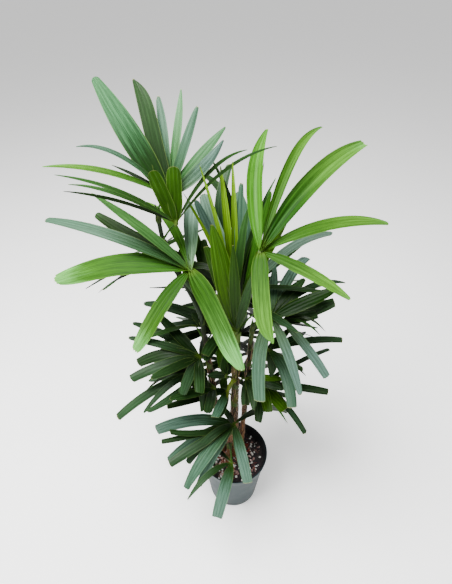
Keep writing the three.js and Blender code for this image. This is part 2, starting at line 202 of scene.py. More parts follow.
outside = [(0, 0), (pot_base - 6, 0), (pot_base - 1.4, 0.4), (pot_base, 2.5)]
for height in range(12, neck_height, 15):
    outside.append((pot_base + (pot_neck - pot_base) * height / neck_height, height))
outside += [(pot_neck, neck_height), (pot_neck + 0.6, neck_height + 1.6)]
band = ((3.6, -1.2), (3, 0), (2.6, 3))
outside += [(pot_rim - gap, rim_foot + above) for gap, above in band]
lip = ((1.2, 6), (0.9, 4.6), (0, 3.4), (0, 1), (0.8, 0), (2.2, 0), (3, 0.8))
outside += [(pot_rim - gap, pot_height - below) for gap, below in lip]
inside = [(pot_rim - 3.3, pot_height - 2), (pot_rim - 2 * pot_wall, rim_foot)]
inside += [(bore(height), height) for height in (neck_height, 150, 80, pot_wall)]
inside.append((0, pot_wall))
points, faces = turned(outside + inside, pot_round)
black_side = np.zeros((len(points), 4))
black_side[(len(outside) - 1) * pot_round : -2, 0] = 1
black_side[-1, 0] = 1

pot_finish = Finish("grey_pot_plastic")
place, height = pot_finish.place(), pot_finish.height()
clouds = pot_finish.speckle(place, 26.0)
grit = pot_finish.speckle(place, 900.0, 2.0)
dust = pot_finish.speckle(place, 95.0, 6.0, 0.7)
scuffs = dust.rise(0.56, 0.74) * (0.35 + height.rise(0.07, 0.0) * 0.8)
grey = pot_finish.mix(clouds, "0e2022", "152b2e")
grey = pot_finish.mix(scuffs * 0.3, grey, "4c4c44")
soil_line = height.rise(0.205, 0.222) * dust.rise(0.45, 0.7)
black = pot_finish.mix(soil_line * 0.35, "15171a", "3a322c")
lining = pot_finish.node("SeparateColor", None, {0: pot_finish.mark("lining")}) > 0.5
pot_material = pot_finish.wear(
    Base_Color=pot_finish.mix(lining, grey, black),
    Roughness=0.42 + clouds * 0.16 + scuffs * 0.2,
    Normal=pot_finish.relief(grit * 0.4 + dust * 0.6, 0.00025, 0.5),
    Specular_IOR_Level=0.2,
)
make("pot_shell", points, faces, pot_material, ["pot"], {"lining": black_side})

# ---- Potting mix ----
# Dark peat and composted bark, pressed in by hand and settled a few centimetres below the rim.
# White perlite, chips of bark and reddish coir lie loose on its top.

soil_level, soil_gap = 214, 0.6
soil_radius = bore(soil_level) - soil_gap
soil_foot, soil_waist = soil_level * 0.02, soil_level * 0.5
soil_rings, soil_round = 54, 150


def lump(x, y):
    """How far the top of the mix stands above its level."""
    broad = noise.noise((x * 0.035, y * 0.035, 3.1)) * 2.4
    middle = noise.noise((x * 0.12, y * 0.12, 8.2)) * 1.5
    fine = noise.noise((x * 0.4, y * 0.4, 1.7)) * 0.8
    edge = -2.0 * max(0.0, math.hypot(x, y) / soil_radius - 0.9) * 10
    return broad + middle + fine + edge - 0.5


points = []
for i in range(1, soil_rings + 1):
    for j in range(soil_round):
        angle = (j + 0.5 * (i % 2)) * 2 * math.pi / soil_round
        x = soil_radius * i / soil_rings * math.cos(angle)
        y = soil_radius * i / soil_rings * math.sin(angle)
        points.append((x, y, soil_level + lump(x, y)))
for level in (soil_waist, soil_foot):
    for j in range(soil_round):
        angle = j * 2 * math.pi / soil_round
        radius = bore(level) - soil_gap
        points.append((radius * math.cos(angle), radius * math.sin(angle), level))
faces = [face[::-1] for face in ring_faces(soil_rings + 2, soil_round)]
top, last = len(points), len(points) - soil_round
points += [(0, 0, soil_level + lump(0, 0)), (0, 0, soil_foot)]
faces += [(top, j, (j + 1) % soil_round) for j in range(soil_round)]
faces += [(top + 1, last + (j + 1) % soil_round, last + j) for j in range(soil_round)]

mix_finish = Finish("damp_potting_mix")
place = mix_finish.place()
crumbs = mix_finish.speckle(place, 260.0, 8.0, 0.72)
patches = mix_finish.speckle(place, 45.0)
peat = mix_finish.mix(crumbs.rise(0.3, 0.72), "080507", "20161a")
peat = mix_finish.mix(patches.rise(0.5, 0.75) * crumbs.rise(0.5, 0.6) * 0.4, peat, "5c3428")
mix_material = mix_finish.wear(
    Base_Color=peat,
    Roughness=0.97 - patches.rise(0.4, 0.7) * 0.25,
    Normal=mix_finish.relief(crumbs, 0.0022),
)
make("peat_bed", points, faces, mix_material, ["potting_mix"])

# ---- Perlite, bark chips and coir on the mix ----
# Popped white perlite grains, angular chips of pine bark and short strands of coir, scattered
# when the pot was filled, with most of the coir round the feet of the canes.

chance = random.Random(11)
shaper = bmesh.new()
bmesh.ops.create_icosphere(shaper, subdivisions=2, radius=1.0)
crumb_points = np.array([v.co[:] for v in shaper.verts])
crumb_faces = [tuple(v.index for v in f.verts) for f in shaper.faces]
shaper.free()


class Batch:
    """Points, faces and marks of many small things that become one piece."""

    def __init__(self):
        self.points, self.faces, self.marks, self.nodes = [], [], {}, []

    def add(self, points, faces, **marks):
        start = len(self.points)
        self.points += np.asarray(points).tolist()
        self.faces += [tuple(start + corner for corner in face) for face in faces]
        for mark, values in marks.items():
            self.marks.setdefault(mark, []).extend(values)

    def make(self, name, material, slot, nodes, smooth=True):
        make(name, self.points, self.faces, material, nodes, self.marks, smooth)


def turn_about(points, axis, angle):
    """Points turned about an axis through the origin."""
    axis = np.asarray(axis, float) / np.linalg.norm(axis)
    cosine, sine = math.cos(angle), math.sin(angle)
    along = np.outer(points @ axis, axis)
    return along + (points - along) * cosine + np.cross(axis, points) * sine


def crumb(size, squash, roughness):
    """One lumpy grain, turned any way."""
    shift = np.array([chance.uniform(-50, 50) for _ in range(3)])
    bulge = np.array([noise.noise(Vector(p * 1.6 + shift)) for p in crumb_points])
    grain = crumb_points * (1 + roughness * bulge)[:, None] * np.array(squash) * size
    grain = turn_about(grain, (0, 0, 1), chance.uniform(0, 2 * math.pi))
    tip = (chance.uniform(-1, 1), chance.uniform(-1, 1), 0.1)
    return turn_about(grain, tip, chance.uniform(-0.5, 0.5))


def scatter(count, reach):
    """Places on the mix, evenly over its area."""
    for _ in range(count):
        radius = reach * math.sqrt(chance.random())
        angle = chance.uniform(0, 2 * math.pi)
        yield radius * math.cos(angle), radius * math.sin(angle)


def tinted(code, count, spread=0.12):
    """One colour for all points of a grain or strand, a little lighter or darker by chance."""
    change = 1 + chance.uniform(-spread, spread)
    return [(*(part * change for part in paint(code)[:3]), chance.random())] * count


def tint_finish(name, roughness, grain_scale, depth):
    """A dull finish whose colour comes from each grain, with fine mottling."""
    finish = Finish(name)
    mottle = finish.speckle(finish.place(), grain_scale, 5.0, 0.65)
    return finish.wear(
        Base_Color=finish.mix(mottle.rise(0.3, 0.7) * 0.45, finish.mark("tint"), "2a201b"),
        Roughness=roughness + mottle * 0.1,
        Normal=finish.relief(mottle, depth),
    )


def grains(name, count, sizes, squash, roughness, colours, material, smooth):
    """Lumpy grains that lie all over the mix, sunk in a little."""
    batch = Batch()
    for x, y in scatter(count, soil_radius - sizes[1] - 1):
        size = chance.uniform(*sizes)
        grain = crumb(size, squash, roughness)
        lift = soil_level + lump(x, y) + size * squash[2] * 0.45
        tints = tinted(chance.choice(colours), len(grain))
        batch.add(grain + [x, y, lift], crumb_faces, tint=tints)
    batch.make(name, material, "potting_mix", ["potting_mix"], smooth)


perlite_material = tint_finish("white_perlite", 0.82, 900.0, 0.0003)
perlite_colours = ["e9e7e2", "d9d6d0", "f2f1ee"]
grains("perlite", 125, (1.4, 4.4), (1, 0.9, 0.75), 0.5, perlite_colours, perlite_material, True)
bark_material = tint_finish("bark_chip", 0.8, 420.0, 0.0006)
bark_colours = ["8c6c66", "c8a8a0", "4a302c", "1e1513", "100c0c", "0c0909", "0a0708", "0a0708"]
grains("bark_chips", 330, (2.4, 7.4), (1, 0.6, 0.3), 0.75, bark_colours, bark_material, False)


def strand(batch, route, radii, code):
    """A thin four-sided thread along a route of points."""
    route = np.asarray(route, float)
    ahead = np.gradient(route, axis=0)
    ahead /= np.linalg.norm(ahead, axis=1)[:, None] + 1e-9
    level = np.array([0, 0, 1.0]) if abs(ahead[0][2]) < 0.9 else np.array([1.0, 0, 0])
    across = np.cross(ahead, level)
    across /= np.linalg.norm(across, axis=1)[:, None]
    over = np.cross(across, ahead)
    points, faces, count = [], [], len(route)
    for turn in range(4):
        angle = turn * math.pi / 2
        side = across * math.cos(angle) + over * math.sin(angle)
        points += (route + side * np.asarray(radii)[:, None]).tolist()
        one, other = turn * count, (turn + 1) % 4 * count
        faces += [(one + k, other + k, other + k + 1, one + k + 1) for k in range(count - 1)]
    faces.append(tuple(turn * count for turn in (3, 2, 1, 0)))
    faces.append(tuple(turn * count + count - 1 for turn in range(4)))
    batch.add(points, faces, tint=tinted(code, 4 * count, 0.25))


cane_feet = {
    "left": (-38, 28), "centre": (-1, 11), "right": (26, 33), "back": (-8, 65), "front": (-22, -17),
}  # fmt: skip
coir_count, coir_steps, stray_share = 600, 6, 12
coir_colours = ["9c3018", "7a3c28", "a8503c", "6d2418", "c29a84"]
coir = Batch()
for number in range(coir_count):
    if number % stray_share:
        foot = chance.choice(list(cane_feet.values()))
        x, y = foot[0] + chance.gauss(0, 13), foot[1] + chance.gauss(0, 13)
    else:
        x, y = next(scatter(1, soil_radius - 16))
    heading = chance.uniform(0, 2 * math.pi)
    length, curl = chance.uniform(10, 34), chance.uniform(-0.06, 0.06)
    route = []
    for k in range(coir_steps + 1):
        heading += curl * length / coir_steps
        x += math.cos(heading) * length / coir_steps
        y += math.sin(heading) * length / coir_steps
        if math.hypot(x, y) > soil_radius - 3:
            break
        arch = 2.5 * chance.random() * (k % 3 == 1)
        route.append((x, y, soil_level + lump(x, y) + 0.5 + arch))
    if len(route) > 3:
        strand(coir, route, np.linspace(0.8, 0.4, len(route)), chance.choice(coir_colours))
coir_material = tint_finish("coir_strand", 0.75, 300.0, 0.0002)
coir.make("coir", coir_material, "potting_mix", ["potting_mix"])

# ---- Canes ----
# Slender bamboo-like stems, each wrapped in overlapping brown leaf sheaths of woven fibre. The
# newest growth at the top is bare, smooth and green, and darkest on the long left cane.

def ease(value, start, end):
    """Runs smoothly from 0 at start to 1 at end."""
    share = min(1.0, max(0.0, (value - start) / (end - start)))
    return share * share * (3 - 2 * share)


def spoke(angle):
    return np.array([math.cos(angle), math.sin(angle), 0])


def bar_faces(rings, around):
    """Quads round a bar of rings, and a cap at either end."""
    caps = [tuple(range(around))[::-1], tuple(range((rings - 1) * around, rings * around))]
    return ring_faces(rings, around) + caps


class Cane:
    """A stem's course from its foot: its lean, the bend between two shares of it, and its taper.
    It widens at the foot, and turns bare and green between two heights."""

    def __init__(self, foot, lean, tip, radii, bare=(2000, 2001), bend=(0, 0), between=(0, 1)):
        self.foot, self.lean, self.tip, self.radii = foot, lean, tip, radii
        self.bare, self.bend, self.between = bare, bend, between

    def share(self, height):
        return (height - soil_level) / (self.tip - soil_level)

    def point(self, height):
        share = self.share(height)
        kick = ease(share, *self.between)
        x, y = (
            foot + lean * share + bend * kick
            for foot, lean, bend in zip(self.foot, self.lean, self.bend)
        )
        return np.array([x, y, height])

    def radius(self, height):
        wide, slim = self.radii
        flare = 4 * math.exp((soil_level - height) / 26)
        return wide + (slim - wide) * self.share(height) + flare


canes = {
    "left": Cane(
        cane_feet["left"], lean=(-85, 2), tip=1215, radii=(9.5, 5), bare=(760, 900),
        bend=(-66, 31), between=(0.66, 0.92),
    ),
    "centre": Cane(cane_feet["centre"], lean=(1, 2), tip=880, radii=(14, 9), bare=(690, 740)),
    "right": Cane(cane_feet["right"], lean=(20, 25), tip=860, radii=(8.5, 5), bare=(740, 800)),
    "back": Cane(cane_feet["back"], lean=(12, 58), tip=800, radii=(9, 7), bare=(700, 760)),
    "front": Cane(cane_feet["front"], lean=(10, 8), tip=426, radii=(8, 6)),
}  # fmt: skip

cane_finish = Finish("fibrous_cane")
bare, wrap, sap, young = cane_finish.marks("wrap")
place = cane_finish.place()
drawn = cane_finish.node("Mapping", None, {"Vector": place, "Scale": (1.0, 1.0, 0.06)})
threads = cane_finish.speckle(drawn, 620.0, 6.0, 0.7)
bands = cane_finish.speckle(drawn, 110.0, 3.0)
warm = cane_finish.speckle(place, 16.0, 2.0)
# Painted shade: above half a metre, where the crown shades the canes, the sheaths turn near black;
# below 0.36 m they stay brown.
low = cane_finish.height().rise(0.5, 0.36)
shaded_brown = cane_finish.mix(threads.rise(0.32, 0.68), "0c0a06", "2c2418")
brown = cane_finish.mix(threads.rise(0.32, 0.68), "38231a", "86603f")
brown = cane_finish.mix(warm.rise(0.45, 0.6) * 0.55, brown, "6e3a28")
brown = cane_finish.mix(low, shaded_brown, brown)
brown = cane_finish.mix(wrap.rise(0.75, 1.0) * 0.6, brown, "1a120c")
brown = cane_finish.mix(wrap.rise(0.25, 0.0) * bands * 0.15, brown, "3f4a1c")
brown = cane_finish.mix(sap * bands.rise(0.35, 0.6) * 0.75, brown, "4e5414")
fresh = cane_finish.mix(threads.rise(0.3, 0.7), "0c1608", "1a2c12")
sappy = cane_finish.mix(threads.rise(0.3, 0.7), "1c3408", "35581a")
fresh = cane_finish.mix(young, fresh, sappy)
cane_material = cane_finish.wear(
    Base_Color=cane_finish.mix(bare, brown, fresh),
    Roughness=0.85 - bare * 0.45,
    Normal=cane_finish.relief((threads * 0.7 + bands * 0.5) * (1.15 - bare), 0.0014),
    Specular_IOR_Level=0.12,
)

cane_round, cane_pitch, node_pitch = 30, 3.2, 62
sap_from, sap_to = 480, 600
for name, cane in canes.items():
    points, marks = [], []
    first, last = soil_level - 1.0, cane.tip
    rows = int((last - first) / cane_pitch)
    seed = chance.uniform(0, 100)
    sheath, slant = chance.uniform(46, 60), chance.uniform(10, 16)
    for i in range(rows + 1):
        height = first + (last - first) * i / rows
        bare = ease(height, *cane.bare)
        closing = ease(height, last - 26, last)
        centre = cane.point(height)
        ring = bare * 0.5 * math.exp(-(((height + 400) % node_pitch - node_pitch / 2) ** 2) / 8)
        # How green the sheaths are still, and whether a bare cane is young.
        sap = ease(height, sap_from, sap_to) if name == "centre" else 0.0
        young = float(name != "left")
        for j in range(cane_round):
            angle = j * 2 * math.pi / cane_round
            side = spoke(angle)
            sweep = slant * math.cos(angle + height * 0.045 + seed)
            wrap = ((height + sweep + seed * 7) / sheath) % 1.0
            step = wrap**1.6 * (1 - ease(wrap, 0.93, 1.0))
            weave = noise.noise((side[0] * 3.4, side[1] * 3.4, height * 0.03 + seed))
            thread = noise.noise((angle * 7, height * 0.09 + angle * 2, seed))
            relief = (1 - bare) * (1.3 * step + 0.35 * weave + 0.4 * thread - 1.0)
            radius = (cane.radius(height) + relief + ring) * (1 - 0.72 * closing)
            points.append(centre + radius * side)
            marks.append((bare, wrap, sap, young))
    bark, faces, nodes = f"{name}_cane_bark", bar_faces(rows + 1, cane_round), [f"{name}_cane"]
    make(bark, points, faces, cane_material, nodes, {"wrap": marks})

# ---- Sheath fibres ----
# Loose brown hairs that fray from the woven sheaths and stand a little off the canes. There are
# none on the bare green growth.

fibre_colours = ["4a3526", "6b4a33", "8a6a4a", "2c211a", "a08058"]
fibres_per_mm, fibre_points = 0.75, 6
fibres = Batch()
for cane in canes.values():
    top = min(cane.tip - 30, cane.bare[0])
    for _ in range(int((top - soil_level) * fibres_per_mm)):
        height = chance.uniform(soil_level + 4, top)
        angle, length = chance.uniform(0, 2 * math.pi), chance.uniform(14, 46)
        stray, turn = chance.uniform(0.5, 5.5), chance.uniform(-0.9, 0.9)
        route = []
        for share in np.arange(fibre_points) / (fibre_points - 1):
            level = min(height + length * share, cane.tip - 4)
            radius = cane.radius(level) + 0.6 + stray * share * share
            route.append(cane.point(level) + radius * spoke(angle + turn * share * 0.5))
        radii = np.linspace(0.5, 0.16, fibre_points)
        strand(fibres, route, radii, chance.choice(fibre_colours))
fibre_material = tint_finish("sheath_fibre", 0.7, 200.0, 0.0001)
fibres.make("sheath_fibres", fibre_material, "cane", [f"{name}_cane" for name in canes])

# ---- Fronds: how they grow ----
# A frond is a slim stalk from a cane, a small knot at its end, and a fan of separate leaflets.
# Angles are in degrees: a stalk has its length, rise and compass direction, and a blade its
# heading, pitch and roll. A leaflet has its bearing, length, width, droop, lift and sweep, and
# takes what its row leaves out from its frond.


def direction(compass, rise):
    compass, rise = math.radians(compass), math.radians(rise)
    flat = math.cos(rise)
    return np.array([math.cos(compass) * flat, math.sin(compass) * flat, math.sin(rise)])


class Frond:
    """Where a frond leaves its cane, where its stalk ends, and how its fan lies there."""

    def __init__(self, cane, height, stalk, blade, leaflets, droop=0.2, width=28, tone="mature"):
        self.cane, self.height, self.tone = cane, height, tone
        self.leaflets, self.droop, self.width = leaflets, droop, width
        length, rise, self.compass = stalk
        self.root = canes[cane].point(height)
        self.hub = self.root + direction(self.compass, rise) * length
        heading, pitch, roll = blade
        self.forward, level = direction(heading, pitch), direction(heading + 90, 0)
        upright, roll = np.cross(self.forward, level), math.radians(roll)
        self.side = level * math.cos(roll) + upright * math.sin(roll)
        self.normal = upright * math.cos(roll) - level * math.sin(roll)


fronds = {
    "left_frond_1": Frond("left", 1200, (45, 46, 17), (95, 60, 0), [
        (59, 305, 13, 0.22, 1, 0.09), (39, 311, 10, 0.46, 15), (31, 282, 50, 0, 1, -0.05),
        (11.6, 270, 34, 0.07, 0, -0.03), (-1, 251, 20, 0.17, 0, 0.06),
        (-12.5, 298, 18, 0.25, 0, 0.08), (-21.7, 200, 20, 0), (-41.5, 222, 24, 0.16, -1, 0.07),
        (-62, 166, 26, 0, 2, 0.24), (53, 151, 8, 0.15),
    ], droop=0.08, width=24),
    "left_frond_2": Frond("left", 1120, (73, 54, -28), (100, 70, 0), [
        (19.6, 124, 30, 0), (-2.7, 130, 32), (-31, 322, 9, 0.4, -2, -0.06),
        (-40, 359, 8, 0.32, -2, -0.08), (46, 280, 9, 0.12, 7, 0.18), (53, 308, 9, 0.38, -4, -0.09),
        (57, 258, 8, 0.13, 3, 0.09),
    ], droop=0.06, width=26),
    "centre_frond_1": Frond("centre", 865, (231, 60, 180), (180, 15, -25), [
        (128, 241, 46, 0.22), (58, 228, 34, 0, -3, 0.19), (-2.3, 345, 54, 0.37, 0, 0.04),
        (-14.1, 432, 32, 0.34, 9, -0.1), (-20.8, 261, 32, 0), (-30.3, 280, 24, 0.02, 20, 0.1),
        (-79.4, 340, 40, 0.43, 2, -0.03), (-5.5, 253, 9, 0.6, -5), (-66.7, 331, 26, 0.37, 1, 0.14),
        (-120.7, 174, 24, 0.7, -25, -0.17),
    ], droop=0.25, width=34, tone="bright"),
    "centre_frond_2": Frond("centre", 855, (285, 79, -24), (10, 20, 35), [
        (78, 350, 50, 0.14, 0, -0.17), (55, 513, 32, 0.36, 3, -0.08), (37, 464, 48, 0.29, 1, -0.05),
        (9, 365, 32, 0.36, -3), (-43, 214, 29, 0.18, 2), (-114, 190, 38, 0.12, 0, 0.12),
    ], droop=0.25, width=34, tone="bright"),
    "centre_frond_3": Frond("centre", 872, (64, 67, 105), (90, 80, 0), [
        (7, 374, 18, 0, 3, 0.09), (4.6, 437, 28, 0.19, -2), (16, 409, 16, 0.33, -3),
        (-4, 413, 24, 0.11, 0, 0.02), (-8, 443, 18, 0.25, -2, -0.07), (-2, 340, 20),
        (-8, 300, 20, 0.1, 3), (16, 402, 12, 0.22, -1, 0.03),
    ], droop=0.05, width=18, tone="young"),
    "centre_frond_4": Frond("centre", 850, (84, 45, 80), (88, 70, 0), [
        (-3, 464, 16, 0.21, 6, 0.22), (-2.5, 550, 26, 0.44, -4, 0.24),
        (21.5, 517, 30, 0.38, -1, -0.32), (-5, 449, 36, 0.39, -2, 0.12), (-7, 407, 8, 0.1),
        (-29, 428, 26, 0.43, -2, -0.11), (13, 345, 14, 0.38, -1, -0.21), (-12, 330, 22),
        (-24, 300, 26), (26, 320), (38, 265, 30, 0.1), (23.8, 369, 40, 0.2, -1, -0.06),
    ], droop=0.08, width=26),
    "centre_frond_5": Frond("centre", 850, (28, 52, -95), (95, 80, 0), [
        (12.7, 315, 46, 0.03, 0, -0.08), (2, 259, 26, 0, 4), (-10, 219, 24), (18, 300, 28, 0.15),
        (26, 230, 26, 0.1),
    ], droop=0.05, width=26, tone="young"),
    "right_frond_1": Frond("right", 840, (72, 40, -25), (10, 30, 20), [
        (48, 300, 34, 0.4, -2, -0.08), (63, 181, 24, 0.1), (31, 171, 30, 0.25), (-2, 185, 34, 0.05),
        (22, 314, 20, 0.52, 1, -0.08), (-86, 183, 26, 0.4), (-143, 190, 38, 0.19, 6, 0.41),
    ], droop=0.15, width=30),
    "right_frond_2": Frond("right", 810, (96, 28, -2), (0, 20, 20), [
        (7, 152, 42, 0), (-3, 98, 32, 0, 2), (-6, 195, 7, 0.7, 38), (-12, 146, 8, 0.7, 29),
        (-57, 179, 26, 0.3),
    ], width=26),
    "right_frond_3": Frond("right", 700, (63, 22, 11), (-10, 15, 20), [
        (47, 98, 28, 0), (25, 126, 22, 0), (20, 249, 24, 0.3, -5), (-23, 129, 10, 0.4),
        (-38, 169, 34, 0.3, 15, -0.42), (-59.9, 84, 28, 0, 7, -0.39),
    ]),
    "right_frond_4": Frond("right", 540, (60, 25, 8), (-20, 15, 10), [
        (49, 293, 22, 0.25), (40, 82, 24, 0.4), (7, 213, 28, 0.15), (-39, 118, 38, 0),
        (-26, 190, 20, 0.55, 4), (-47, 158, 8, 0), (-62, 100, 34, 0.2, 10), (-83, 118, 30, 0.15),
    ]),
    "right_frond_8": Frond("right", 615, (35, 40, -100), (-20, 20, 10), [
        (10, 117, 24), (-5, 129, 28, 0.2), (-71, 79, 24, 0.35, 5), (-44, 74, 26, 0.3),
        (68, 85, 26, 0.1), (-92.9, 86, 14, 0.07, 3, 0.23), (-44.6, 104, 26, 0.19, 6, -0.29),
    ], droop=0.15, width=26),
    "left_frond_3": Frond("left", 715, (47, 49, -148), (190, 20, -20), [
        (-44, 178, 30, 0), (-36, 257, 26, 0.3, -4), (-16, 219, 24, 0.15), (-9, 199, 34, 0.55, 4),
        (12, 206, 30, 0.3), (28, 158, 26, 0), (55, 97, 32, 0.65, 4), (90, 106, 32, 0),
        (-116.8, 128, 30, 0.38, -11, 0.19),
    ]),
    "left_frond_4": Frond("left", 625, (43, 50, 171), (190, 15, -10), [
        (3, 170, 24), (4, 238, 12, 0.7, 28), (13, 282, 28, 0.5), (19, 245, 18, 0.7, 23),
        (34, 145, 8, 0.2, -5), (-20, 160), (-45, 150), (85, 96, 32, 0.65, 7),
        (46, 213, 22, 0, 1, -0.14),
    ], droop=0.22),
    "centre_frond_6": Frond("centre", 770, (67, 28, 123), (180, 25, 0), [
        (-22, 297, 32, 0.35), (-19, 228, 18, 0.7), (38.4, 133, 28, 0.11, 9, 0.16),
        (58.7, 130, 28, 0.12, 0, 0.09), (-45, 110), (-80, 160), (73.1, 115, 22, 0.3, 3, 0.14),
    ], droop=0.15, width=26),
    "left_frond_5": Frond("left", 600, (48, 40, -82), (200, 15, -20), [
        (59, 67, 30, 0.4), (3, 90, 30), (10.7, 156, 24, 0.07, 0, -0.06), (-30, 120),
    ], width=30),
    "front_frond_1": Frond("front", 415, (38, 72, -45), (200, 15, -20), [
        (-23, 260, 40, 0.22, 3, 0.22), (0, 236, 30, 0.65), (9, 221, 26, 0.7, 23),
        (18, 246, 30, 0.26, 5, -0.08), (38, 195, 30, 0.5), (19, 227, 28, 0.26, -1, 0.28),
        (91, 176, 38, 0.1), (-155, 309, 24, 0.7), (13.7, 209, 20, 0, 1, -0.28),
        (7.1, 242, 20, 0.06, -3, -0.1), (31.3, 230, 28, 0.3, 1, 0.05),
        (-67.2, 81, 26, 0.09, 25, 0.08),
    ], droop=0.3),
    "centre_frond_7": Frond("centre", 553, (40, 49, 176), (210, 15, 0), [
        (33, 122, 28, 0), (-7, 202, 26, 0), (-12.6, 68, 28, 0, 8, -0.19), (46.7, 93, 26, 0.2),
    ], droop=0.25),
    "centre_frond_10": Frond("centre", 645, (35, 35, 180), (95, 60, 0), [
        (11, 109, 28, 0), (69, 58, 26, 0.45), (-29, 89, 26, 0), (155.3, 110, 24, 0, -21, 0.44),
    ], droop=0.1, width=26),
    "front_frond_2": Frond("front", 330, (131, 31, -87), (235, 25, 0), [
        (-23, 198, 22, 0.55, 7, 0.17), (20, 208, 36, 0.1), (-109, 259, 26, 0.24, -2, 0.28),
    ], droop=0.3),
    "back_frond_1": Frond("back", 780, (80, 50, 95), (90, 65, 0), [
        (30, 139, 28, 0.14), (9, 170, 28, 0.17), (-5, 181, 28, 0.17), (-19, 166, 28, 0.15),
        (-48, 254, 28, 0.03), (-36, 145, 28, 0.12), (-60, 142, 28, 0.08),
    ], droop=0.05),
    "left_frond_10": Frond("left", 790, (45, 60, 20), (95, 65, 0), [
        (1.5, 374, 30, 0.25, -1, 0.09), (-1.5, 304, 30, 0.18, -1, 0.07),
        (20, 260, 34, 0.06, 0, -0.05), (-19, 131), (-34, 111), (41, 84),
    ], droop=0.05),
}  # fmt: skip
# Fans that others hide, or on the far side, spread evenly. Each has its cane, height, stalk,
# blade, droop and width, then how many leaflets it has, their spread and their length.
even_fans = {
    "left_frond_6": ("left", 1040, (70, 20, 130), (140, -25, 0), 0.12, 28, (7, 170, 230)),
    "left_frond_7": ("left", 900, (80, 20, 75), (80, -25, 0), 0.12, 28, (7, 170, 230)),
    "left_frond_8": ("left", 780, (70, 20, 120), (115, -28, 0), 0.12, 28, (7, 170, 210)),
    "centre_frond_8": ("centre", 815, (155, 52, 62), (75, -20, 0), 0.12, 30, (7, 170, 260)),
    "centre_frond_9": ("centre", 850, (90, 30, 35), (40, -20, 0), 0.12, 30, (7, 160, 175)),
    "right_frond_5": ("right", 770, (70, 30, 70), (70, -25, 0), 0.12, 28, (7, 170, 230)),
    "right_frond_6": ("right", 620, (70, 25, 60), (62, -25, 0), 0.15, 28, (7, 170, 175)),
    "right_frond_7": ("right", 460, (60, 30, 55), (55, -20, 0), 0.15, 26, (6, 150, 150)),
    "back_frond_2": ("back", 700, (70, 35, 150), (150, -15, 0), 0.15, 28, (7, 170, 220)),
    "back_frond_3": ("back", 640, (70, 35, 80), (80, -15, 0), 0.15, 28, (7, 170, 220)),
    "back_frond_4": ("back", 540, (60, 35, 120), (120, -15, 0), 0.15, 28, (7, 170, 210)),
    "back_frond_5": ("back", 470, (60, 35, 50), (60, -10, 0), 0.2, 26, (6, 160, 190)),
    "back_frond_6": ("back", 740, (95, 30, 100), (95, -5, 0), 0.2, 28, (8, 200, 220)),
    "left_frond_9": ("left", 480, (60, 30, 120), (110, -15, 0), 0.2, 26, (5, 110, 150)),
}


def even_fan(count, spread, length):
    shares = [i / (count - 1) - 0.5 for i in range(count)]
    return [(share * spread, length * (1 - 0.9 * share * share)) for share in shares]


for name, (cane, height, stalk, blade, droop, width, fan) in even_fans.items():
    fronds[name] = Frond(cane, height, stalk, blade, even_fan(*fan), droop, width)


def unit(vectors):
    return vectors / np.linalg.norm(vectors, axis=-1, keepdims=True)


# A solid leaflet's thickness and least width at its end, and the turns and rises that the solid
# frond tries, one after the other, until a leaflet clears its neighbours.
blade_depth, blade_end = 3.4, 6.0
tries = [
    (0, 0), (4, 0), (-4, 0), (0, 6), (0, -6), (8, 4), (-8, 4), (0, 12), (0, -12),
    (12, 0), (-12, 0), (10, 12), (-10, 12), (10, -12), (-10, -12), (0, 20), (0, -20),
]  # fmt: skip


class Leaflet:
    """The course of one leaflet after one of the tries, as the solids have it."""

    def __init__(self, frond, row, turn, rise):
        usual = (0, 0, frond.width, frond.droop, 0, 0)
        bearing, self.length, self.width, droop, lift, sweep = row + usual[len(row) :]
        angle, rise = math.radians(bearing + turn), math.radians(lift + rise)
        flat = frond.forward * math.cos(angle) + frond.side * math.sin(angle)
        self.hub, self.normal = frond.hub, frond.normal
        self.outward = flat * math.cos(rise) + self.normal * math.sin(rise)
        leftward = unit(np.cross(self.normal, self.outward))
        self.bow = leftward * sweep + np.array([0, 0, -droop])

    def course(self, share):
        """Centre, and the directions along, across and up, at shares of the length."""
        share = np.asarray(share, float)[..., None]
        centre = self.hub + self.length * (self.outward * share + self.bow * share * share)
        along = unit(self.outward + 2 * self.bow * share)
        across = unit(np.cross(along, self.normal))
        return centre, along, across, np.cross(across, along)

    def built(self, corners):
        """Whether the solid frond has a corner where this course would end."""
        centre, _, across, up = self.course(1.0)
        side = across * max(blade_end, self.width * 0.5) / 2
        edge = centre - up * blade_depth / 3
        ends = np.array([centre + up * blade_depth / 1.5, edge + side, edge - side])
        gaps = np.linalg.norm(corners[None] - ends[:, None], axis=2).min(axis=1)
        return (gaps < 0.25).sum() >= 2


# Only the leaflets that the solid frond has are grown.
grown = {}
for name, frond in fronds.items():
    corners = np.array([corner.co[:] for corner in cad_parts[name].data.vertices]) * 1000
    grown[name] = []
    for number, row in enumerate(frond.leaflets):
        courses = (Leaflet(frond, row, turn, rise) for turn, rise in tries)
        found = next((course for course in courses if course.built(corners)), None)
        if found:
            grown[name].append((number, found))
